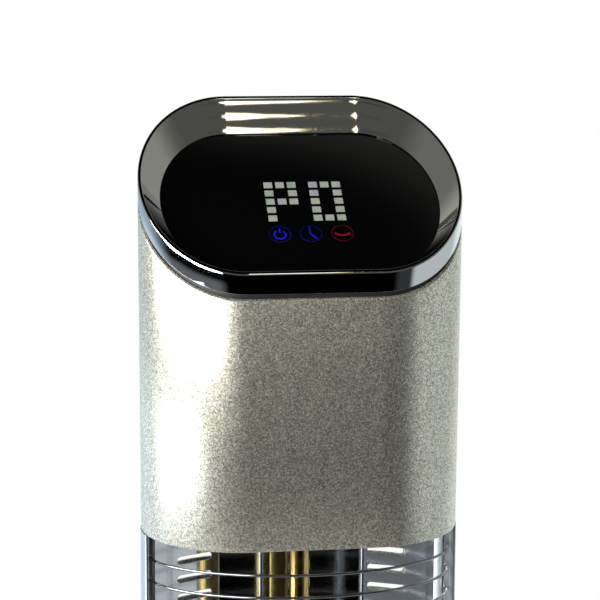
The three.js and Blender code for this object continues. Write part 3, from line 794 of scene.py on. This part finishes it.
def build_reflector():
    right = [(x * MM, y * MM) for x, y in REFLECTOR]
    low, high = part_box("reflector")[0][2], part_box("reflector")[1][2]
    path = bent(right[1:] + [(-x, y) for x, y in reversed(right[1:])], SHEET_BEND)
    outline = sheet_outline(path, -SHEET)
    piece = finish_mesh("mirror", rings_mesh("mirror", slab(outline, low, high), closed=False),
                        MIRROR, "tower", ["reflector"])
    carve(piece, vent_slots(MIRROR_VENT, MIRROR_VENT_ALONG, MIRROR_VENT_SIZE))
    for name, side in (("mirror_wall_right", 1), ("mirror_wall_left", -1)):
        inner, outer = side * right[0][0], side * (right[0][0] + SHEET)
        front, back = right[0][1], right[1][1] + 0.5 * MM
        corners = [(inner, front, 0.3 * MM), (outer, front, 0.3 * MM), (outer, back, 0), (inner, back, 0)]
        mesh = rings_mesh(name, slab(rounded(corners, 3), low, high), closed=False)
        finish_mesh(name, mesh, ALUMINIUM, "tower", ["reflector"])


def build_lamp():
    low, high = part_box("lamp_tube")[0][2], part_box("lamp_tube")[1][2]
    radius = span("lamp_tube", 0) / 2
    core = 0.2 * MM
    outline = rounded([(core, low, 0), (radius, low, 2 * MM), (radius, high, 2 * MM), (core, high, 0)])
    mesh = turned("quartz_lamp", outline, (0, 0, 0), 64)
    finish_mesh("quartz_lamp", mesh, GOLD, "tower", ["lamp_tube"])


def build_rear_cover():
    right = [Vector(point) for point in side_arc(1, POST_BACK + 1, 90, TOWER_RADIUS, 40)]
    path = right + [Vector((-p.x, p.y)) for p in reversed(right)]
    outline = sheet_outline(path, WALL)
    mesh = rings_mesh("back_cover", slab(outline, SECTION_BOTTOM, SECTION_TOP), closed=False)
    piece = finish_mesh("back_cover", mesh, SILVER, "tower", ["rear_cover"])
    slots = vent_slots(COVER_VENT, COVER_VENT_ALONG, COVER_VENT_SIZE)
    for i in range(1, 5):
        spot = middle(f"cover_screw_{i}")
        hole = (spot.x, TOWER_RADIUS, spot.z)
        slots.append(slot_cutter(hole, (1, 0, 0), (0, 1, 0), 3.6 * MM, 3.5 * MM, 6 * MM))
    carve(piece, slots)


# ---------------------------------------------------------------- lower housing and base


SWITCH_HOLE = (28 * MM, 22 * MM, 12 * MM)


def build_lower_housing():
    soft = soft_edge(SHELL_EDGE)
    bottom = [tower_ring(inset, HOUSING_BOTTOM + rise) for inset, rise in reversed(soft)]
    top = [tower_ring(inset, HOUSING_TOP - rise) for inset, rise in soft]
    inner = [tower_ring(WALL, HOUSING_TOP), tower_ring(WALL, HOUSING_BOTTOM)]
    piece = finish_mesh("housing", rings_mesh("housing", bottom + top + inner), SILVER, "tower",
                        ["lower_housing"])
    centre = middle("switch_body")
    carve(piece, [slot_box((0, TOWER_RADIUS, centre.z), *SWITCH_HOLE)])


def slot_box(centre, width, height, depth):
    """Rings of an upright rectangular block whose depth runs along Y."""
    corners = [(-1, -1), (1, -1), (1, 1), (-1, 1)]
    return [[Vector(centre) + Vector((sx * width / 2, sign * depth, sz * height / 2)) for sx, sz in corners]
            for sign in (-1, 1)]


SEAT_GAP = 0.3 * MM
POCKET_FLOOR = 53.8 * MM


def build_switch():
    """The switch's frame: a barrel in the wall, a flange outside, and the pocket the rocker sits in."""
    centre = middle("switch_body")
    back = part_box("switch_body")[1][1]
    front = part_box("switch_body")[0][1]
    face = TOWER_RADIUS + SEAT_GAP

    def plate(width, height, radius):
        a, b = width / 2, height / 2
        return rounded([(-a, -b, radius), (a, -b, radius), (a, b, radius), (-a, b, radius)], 4)

    def ring(outline, y):
        return [Vector((x, y, centre.z + z)) for x, z in outline]

    flange = plate(32 * MM, 26 * MM, 2.5 * MM)
    narrow = plate(31 * MM, 25 * MM, 2.2 * MM)
    barrel = plate(27 * MM, 21 * MM, 1 * MM)
    pocket = plate(21 * MM, 17 * MM, 0.8 * MM)
    rings = [ring(pocket, POCKET_FLOOR), ring(pocket, back), ring(narrow, back), ring(flange, back - 0.7 * MM),
             ring(flange, face), ring(barrel, face), ring(barrel, front)]
    mesh = rings_mesh("switch_frame", rings, closed=False)
    finish_mesh("switch_frame", mesh, BLACK, "tower", ["switch_body"])


ROCKER_PIVOT = Vector((0, 57.5 * MM, 92 * MM))
ROCKER_REST = 10  # degrees
ROCKER_EDGE = 0.5 * MM
ROCKER_REACH = 7 * MM


def build_rocker():
    """A rocker with a hollow face, resting on its lower half."""
    profile = rounded([(-3.6 * MM, -3.4 * MM, 0), (0, -3.8 * MM, 0), (3.6 * MM, -3.4 * MM, 0),
                       (7.2 * MM, 3.9 * MM, 0.7 * MM), (0, 2.6 * MM, 4 * MM),
                       (-7.2 * MM, 3.9 * MM, 0.7 * MM)], 6)
    tilt = Matrix.Rotation(math.radians(ROCKER_REST), 3, "X")
    centre = ROCKER_PIVOT
    width = span("rocker", 0) / 2
    rings = []
    ends = ((-width, ROCKER_EDGE), (-width + ROCKER_EDGE, 0), (width - ROCKER_EDGE, 0), (width, ROCKER_EDGE))
    for x, inset in ends:
        shrink = 1 - inset / ROCKER_REACH
        rings.append([centre + tilt @ Vector((x, out * shrink, up * shrink)) for up, out in profile])
    mesh = rings_mesh("rocker_cap", rings, closed=False)
    finish_mesh("rocker_cap", mesh, BLACK_GLOSS, "rocker_key", ["rocker"])


BASE_WALL = 3  # millimetres
NECK_RADIUS = 25 * MM
NECK_BOTTOM = 32 * MM


def build_base():
    """The base cover: a domed shell with a round neck hole, open below."""
    # (inset, height) in millimetres along the dome, from the rim up to the neck
    dome = [(0, 5), (0, 15), (2, 21), (8, 27), (22, 32), (50, 35)]
    curve = []
    for i in range(len(dome) - 1):
        before, a, b, after = (Vector(dome[max(0, min(j, len(dome) - 1))]) for j in (i - 1, i, i + 1, i + 2))
        for k in range(8):
            t = k / 8
            curve.append(0.5 * (2 * a + (b - before) * t + (2 * before - 5 * a + 4 * b - after) * t * t
                                + (3 * a - before - 3 * b + after) * t**3))
    curve.append(Vector(dome[-1]))
    outer = [(max(p.x, 0), p.y) for p in curve]
    lowest = dome[0][1]
    under = [(inset + BASE_WALL, z - BASE_WALL) for inset, z in reversed(outer) if z > 9]
    under.append((BASE_WALL, lowest))
    rings = [oval(BASE_HALF, BASE_RADIUS - inset * MM, z * MM) for inset, z in outer]
    rings += [oval(BASE_HALF, NECK_RADIUS, height) for height in (BASE_TOP, NECK_BOTTOM)]
    rings += [oval(BASE_HALF, BASE_RADIUS - inset * MM, z * MM) for inset, z in under]
    mesh = rings_mesh("base_shell", rings)
    finish_mesh("base_shell", mesh, BASE_SILVER, "base", ["base_cover"])


FOOT_HEIGHT = 5 * MM


def build_small_parts():
    """Feet, screws, the cord's inlet bush and the tip-over plunger."""
    for i in range(1, 5):
        spot = middle(f"foot_{i}")
        outline = rounded([(0.2 * MM, 0, 0), (8.2 * MM, 0, 1 * MM), (9 * MM, FOOT_HEIGHT, 0.3 * MM),
                           (0.2 * MM, FOOT_HEIGHT, 0)])
        mesh = turned(f"rubber_foot_{i}", outline, (spot.x, spot.y, 0))
        finish_mesh(f"rubber_foot_{i}", mesh, RUBBER, "base", [f"foot_{i}"])

        spot = middle(f"base_screw_{i}")
        build_screw(f"plate_screw_{i}", (spot.x, spot.y, FOOT_HEIGHT), (0, 0, -1), 3.6 * MM, 1.8 * MM,
                    11 * MM, "base", f"base_screw_{i}")
        spot = middle(f"cover_screw_{i}")
        seat = TOWER_RADIUS + SEAT_GAP
        build_screw(f"back_screw_{i}", (spot.x, seat, spot.z), (0, 1, 0), 3.4 * MM, 1.4 * MM, 6 * MM,
                    "tower", f"cover_screw_{i}")

    outline = [(r * MM, z * MM) for r, z in rounded(
        [(2.8, 0, 0.4), (5.4, 0, 0.3), (5.4, 2.2, 0.3), (4.3, 2.2, 0), (4.3, 8.3, 0.5), (2.8, 8.3, 0.5)])]
    centre = middle("cord_grommet")
    outer_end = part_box("cord_grommet")[0][1]
    mesh = turned("cord_bush", outline, (centre.x, outer_end, centre.z), 48, (0, 1, 0))
    finish_mesh("cord_bush", mesh, RUBBER, "base", ["cord_grommet"])

    spot = middle("tip_plunger")
    outline = [(r * MM, z * MM) for r, z in rounded(
        [(0.2, 0, 0), (3.5, 0, 1.2), (3.5, 12.9, 0), (4.7, 12.9, 0.2), (4.7, 14.6, 0.2), (0.2, 14.6, 0)])]
    mesh = turned("plunger_pin", outline, (spot.x, spot.y, 0))
    finish_mesh("plunger_pin", mesh, NYLON, "plunger", ["tip_plunger"])


def build_screw(name, seat, axis, head, shank, length, body, node):
    """A pan head with a cross recess. seat is the point under the head, axis the way the head faces."""
    tall = head * 0.55
    corners = [(0.15 * MM, -length, 0), (shank, -length, 0.3 * MM), (shank, 0, 0), (head, 0, 0.2 * MM),
               (head * 0.95, tall * 0.6, tall * 0.3), (head * 0.55, tall, tall * 0.3), (0.15 * MM, tall, 0)]
    mesh = turned(name, rounded(corners), seat, 32, axis)
    piece = finish_mesh(name, mesh, STEEL, body, [node])
    up = Vector(axis)
    side = Vector((1, 0, 0))
    across = up.cross(side)
    top = Vector(seat) + up * tall
    long, narrow, deep = head * 0.5, head * 0.11, tall * 0.55
    for a, b in ((side, across), (across, side)):
        bar = [a * sa * long + b * sb * narrow for sa, sb in ((-1, -1), (1, -1), (1, 1), (-1, 1))]
        carve(piece, [[[top + p - up * deep for p in bar], [top + p + up * tall for p in bar]]])


def dress_cad_nodes():
    """Hidden and hard-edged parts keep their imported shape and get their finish."""
    finishes = {
        "base_plate": POWDER_BLACK, "base_weight": STEEL, "tip_switch": BLACK, "tip_spring": STEEL,
        "pivot_post": STEEL, "glide_ring": NYLON, "thrust_washer": STEEL, "fixed_gear": NYLON,
        "retaining_nut": STEEL, "drive_pinion": NYLON, "turntable": STEEL, "swing_motor": STEEL,
        "motor_screw_1": STEEL, "motor_screw_2": STEEL, "lower_bulkhead": STEEL, "terminal_block": NYLON,
        "lamp_cap_top": CERAMIC, "lamp_cap_bottom": CERAMIC, "lamp_bracket_top": STEEL,
        "lamp_bracket_bottom": STEEL, "head_floor": STEEL, "power_board": BOARD, "relay": BLACK,
        "transformer": STEEL, "thermal_cutout": BLACK, "control_tray": BLACK, "led_module": NYLON,
        "display_board": BOARD,
    }
    for node, material in finishes.items():
        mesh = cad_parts[node].data
        mesh.materials.clear()
        mesh.materials.append(material)


# ---------------------------------------------------------------- stage


FLOOR_RADIUS = 1.1
FLOOR_FADE = 0.35


def build_floor():
    """A round of pale paper that fades out before its edge."""
    sides = 96
    turns = [2 * math.pi * i / sides for i in range(sides)]
    rings = [[Vector((r * math.cos(a), r * math.sin(a), 0)) for a in turns]
             for r in (0.3, 0.6, 0.9, FLOOR_RADIUS)]
    bm = bmesh.new()
    rows = [[bm.verts.new(p) for p in ring] for ring in rings]
    bm.faces.new(rows[0])
    for a, b in zip(rows, rows[1:]):
        for i in range(sides):
            bm.faces.new((a[i], a[(i + 1) % sides], b[(i + 1) % sides], b[i]))
    floor = bpy.data.objects.new("floor", mesh_from(bm, "floor"))
    bpy.context.collection.objects.link(floor)
    finish = Finish("floor_paper", (0.5, 0.5, 0.49), 0.9)
    distance = finish.add("ShaderNodeVectorMath", operation="LENGTH")
    finish.tree.links.new(finish.place, distance.inputs[0])
    finish.feed(finish.spread(distance.outputs["Value"], 1, 0, FLOOR_FADE, FLOOR_RADIUS), "Alpha")
    grain = finish.ramp(finish.noise(400, 4), [(0.3, (0.49, 0.49, 0.48)), (0.7, (0.52, 0.52, 0.51))])
    finish.feed(grain, "Base Color")
    floor.data.materials.append(finish.material)


def area_light(name, place, target, size, power, color):
    """A soft box. size is its width and height in metres, power is in watts."""
    data = bpy.data.lights.new(name, "AREA")
    data.shape = "RECTANGLE"
    data.size, data.size_y = size
    data.energy = power
    data.color = color
    light = bpy.data.objects.new(name, data)
    bpy.context.collection.objects.link(light)
    light.location = place
    light.rotation_euler = (Vector(target) - Vector(place)).to_track_quat("-Z", "Y").to_euler()


class Sky:
    """Nodes that turn a direction into the brightness of the studio around the object."""

    def __init__(self):
        world = bpy.data.worlds.new("studio")
        bpy.context.scene.world = world
        world.use_nodes = True
        self.tree = world.node_tree
        self.tree.nodes.clear()
        axes = self.tree.nodes.new("ShaderNodeSeparateXYZ")
        direction = self.tree.nodes.new("ShaderNodeTexCoord").outputs["Generated"]
        self.tree.links.new(direction, axes.inputs["Vector"])
        self.direction = direction
        self.x, self.y, self.z = (axes.outputs[name] for name in "XYZ")

    def math(self, operation, a, b):
        node = self.tree.nodes.new("ShaderNodeMath")
        node.operation = operation
        for socket, value in zip(node.inputs, (a, b)):
            if isinstance(value, (int, float)):
                socket.default_value = value
            else:
                self.tree.links.new(value, socket)
        return node.outputs["Value"]

    def times(self, *factors):
        product = factors[0]
        for factor in factors[1:]:
            product = self.math("MULTIPLY", product, factor)
        return product

    def step(self, source, start, end):
        """A smooth step from 0 at start to 1 at end. start may be the larger."""
        node = self.tree.nodes.new("ShaderNodeMapRange")
        node.interpolation_type = "SMOOTHSTEP"
        node.inputs["From Min"].default_value = start
        node.inputs["From Max"].default_value = end
        self.tree.links.new(source, node.inputs["Value"])
        return node.outputs["Result"]

    def speckle(self, scale):
        """Noise around 0 over the directions, with its own scale along each axis."""
        mapping = self.tree.nodes.new("ShaderNodeMapping")
        mapping.inputs["Scale"].default_value = scale
        self.tree.links.new(self.direction, mapping.inputs["Vector"])
        noise = self.tree.nodes.new("ShaderNodeTexNoise")
        noise.inputs["Scale"].default_value = 1
        self.tree.links.new(mapping.outputs["Vector"], noise.inputs["Vector"])
        return self.math("SUBTRACT", noise.outputs["Fac"], 0.5)

    def zone(self, strength, color):
        """A glow of one colour whose strength is a socket."""
        node = self.tree.nodes.new("ShaderNodeBackground")
        node.inputs["Color"].default_value = (*color, 1)
        self.tree.links.new(strength, node.inputs["Strength"])
        return node.outputs["Background"]

    def sum(self, zones):
        """All the zones added up."""
        total = zones[0]
        for zone in zones[1:]:
            node = self.tree.nodes.new("ShaderNodeAddShader")
            self.tree.links.new(total, node.inputs[0])
            self.tree.links.new(zone, node.inputs[1])
            total = node.outputs["Shader"]
        return total


# How bright each part of the studio is.
BACK_LEFT = 0.62
BACK_LEFT_LOW = 0.35
RIGHT_WALL = 0.58
RIGHT_CORNER = 0.04
FRONT_LOW = 0.16
ROOM = 0.09
ROOM_RIGHT = 0.2
ROOM_NEAR_LEFT = 0.08
ROOM_FAR_LEFT = 0.22
WINDOW = 1.6

# The window, by x and z of the direction towards it: upright at its left, slanted at its right.
WINDOW_LEFT = 0.1165
WINDOW_FOOT = 0.747
WINDOW_LEAN = 0.36
WINDOW_WIDTH = 0.12
WINDOW_TOP = 0.95


def build_world():
    """A white sweep behind and at the right, a grey room above, and a narrow window high in front."""
    sky = Sky()
    tree = sky.tree
    on_right = sky.step(sky.x, -0.1, 0.1)
    on_left = sky.math("SUBTRACT", 1, on_right)

    level = sky.step(sky.z, 0.22, 0.08)
    wall_level = sky.step(sky.z, 0.45, 0.2)
    low = sky.step(sky.z, -0.12, -0.24)
    behind = sky.times(sky.step(sky.y, -0.05, 0.75), level)
    wall = sky.math("ADD", sky.times(sky.step(sky.x, 0.69, 0.79), RIGHT_WALL),
                    sky.times(sky.step(sky.x, 0.4, 0.55), RIGHT_CORNER))
    right = sky.math("MAXIMUM", sky.times(behind, on_right), sky.times(wall, wall_level))
    left = sky.times(behind, on_left, sky.math("ADD", sky.times(low, BACK_LEFT_LOW), BACK_LEFT))
    low_front = sky.times(low, sky.step(sky.x, -0.25, -0.5), FRONT_LOW)

    above = sky.times(sky.step(sky.z, 0.03, 0.33), sky.step(sky.z, 0.97, 0.8))
    right_room = sky.times(sky.step(sky.y, -0.38, 0), on_right, ROOM_RIGHT)
    near_left = sky.times(sky.step(sky.y, -0.5, -0.25), ROOM_NEAR_LEFT)
    far_left = sky.times(sky.step(sky.y, 0.3, 0.7), ROOM_FAR_LEFT)
    left_room = sky.times(sky.math("ADD", near_left, far_left), on_left)
    room = sky.times(above, sky.math("ADD", sky.math("ADD", right_room, left_room), ROOM))

    slant = sky.times(sky.math("SUBTRACT", sky.z, WINDOW_FOOT), WINDOW_LEAN)
    edge = sky.math("SUBTRACT", slant, sky.x)
    edge = sky.math("ADD", edge, sky.times(sky.speckle((55, 55, 55)), 0.02))
    side = sky.times(sky.step(sky.x, WINDOW_LEFT, WINDOW_LEFT + 0.003),
                     sky.step(sky.z, WINDOW_TOP, WINDOW_TOP - 0.03), sky.step(sky.y, 0, -0.1))
    near_edge = sky.step(edge, -WINDOW_WIDTH - 0.04, -WINDOW_WIDTH)
    flecks = sky.times(sky.step(sky.speckle((700, 60, 60)), 0.1, 0.22), near_edge)
    rim_of_gold = sky.step(edge, -WINDOW_WIDTH - 0.006, -WINDOW_WIDTH)
    gold = sky.times(sky.math("MAXIMUM", rim_of_gold, flecks), side)
    white = sky.times(sky.step(edge, -WINDOW_WIDTH, -WINDOW_WIDTH + 0.007), side)

    room_light = sky.sum([
        sky.zone(left, (0.66, 0.82, 1.0)),
        sky.zone(low_front, (0.9, 0.95, 1.0)),
        sky.zone(right, (0.9, 0.98, 1.0)),
        sky.zone(room, (1.0, 1.0, 0.9)),
        sky.zone(gold, (0.9, 0.66, 0.26)),
        sky.zone(sky.times(white, WINDOW), (0.8, 0.9, 1.0)),
    ])
    seen = tree.nodes.new("ShaderNodeLightPath").outputs["Is Camera Ray"]
    paper = tree.nodes.new("ShaderNodeBackground")
    paper.inputs["Color"].default_value = (1, 1, 1, 1)
    mix = tree.nodes.new("ShaderNodeMixShader")
    tree.links.new(seen, mix.inputs["Fac"])
    tree.links.new(room_light, mix.inputs[1])
    tree.links.new(paper.outputs["Background"], mix.inputs[2])
    tree.links.new(mix.outputs["Shader"], tree.nodes.new("ShaderNodeOutputWorld").inputs["Surface"])


def placed(turn, reach, height):
    """A place around the head, by its angle from the front (left is negative) and its height."""
    turn = math.radians(turn)
    return Vector((math.sin(turn) * reach, -math.cos(turn) * reach, HEAD_BOTTOM + height))


LIGHT_REACH = 1.25
WHITE = (1.0, 1.0, 1.0)
COOL = (0.86, 0.95, 1.0)


def build_lights():
    """A tall soft box at the left, and a low, weak one under it for the lower casing."""
    axis = Vector((0, 0, HEAD_BOTTOM))
    key_aim = axis + Vector((0, 0, 0.43))
    area_light("key_left", placed(-58, LIGHT_REACH, 0.55), key_aim, (1.85, 0.86), 57, WHITE)
    area_light("low_left", placed(-79, LIGHT_REACH, -0.42), axis, (1.5, 0.32), 6.2, COOL)


# ---------------------------------------------------------------- camera

AZIMUTH = math.radians(-9.035)
ELEVATION = math.radians(9.792)
ROLL = math.radians(0.324)
DISTANCE = 1.33976
AIM = Vector((0.0035, 0.0226, HEAD_BOTTOM + 0.1327))
FOCAL_LENGTH = 133.31


def build_camera():
    back = Vector((math.sin(AZIMUTH) * math.cos(ELEVATION), -math.cos(AZIMUTH) * math.cos(ELEVATION),
                   math.sin(ELEVATION)))
    data = bpy.data.cameras.new("camera")
    data.lens = FOCAL_LENGTH
    data.sensor_width = 36
    camera = bpy.data.objects.new("camera", data)
    bpy.context.collection.objects.link(camera)
    turn = (-back).to_track_quat("-Z", "Y").to_matrix().to_4x4() @ Matrix.Rotation(ROLL, 4, "Z")
    camera.matrix_world = Matrix.Translation(AIM + back * DISTANCE) @ turn
    bpy.context.scene.camera = camera


build_casing()
build_bezel()
build_display()
build_icons()
build_posts()
build_guard()
build_reflector()
build_lamp()
build_rear_cover()
build_lower_housing()
build_switch()
build_rocker()
build_base()
build_small_parts()
dress_cad_nodes()
build_floor()
build_world()
build_lights()
build_camera()
bpy.context.scene.view_settings.view_transform = "Standard"
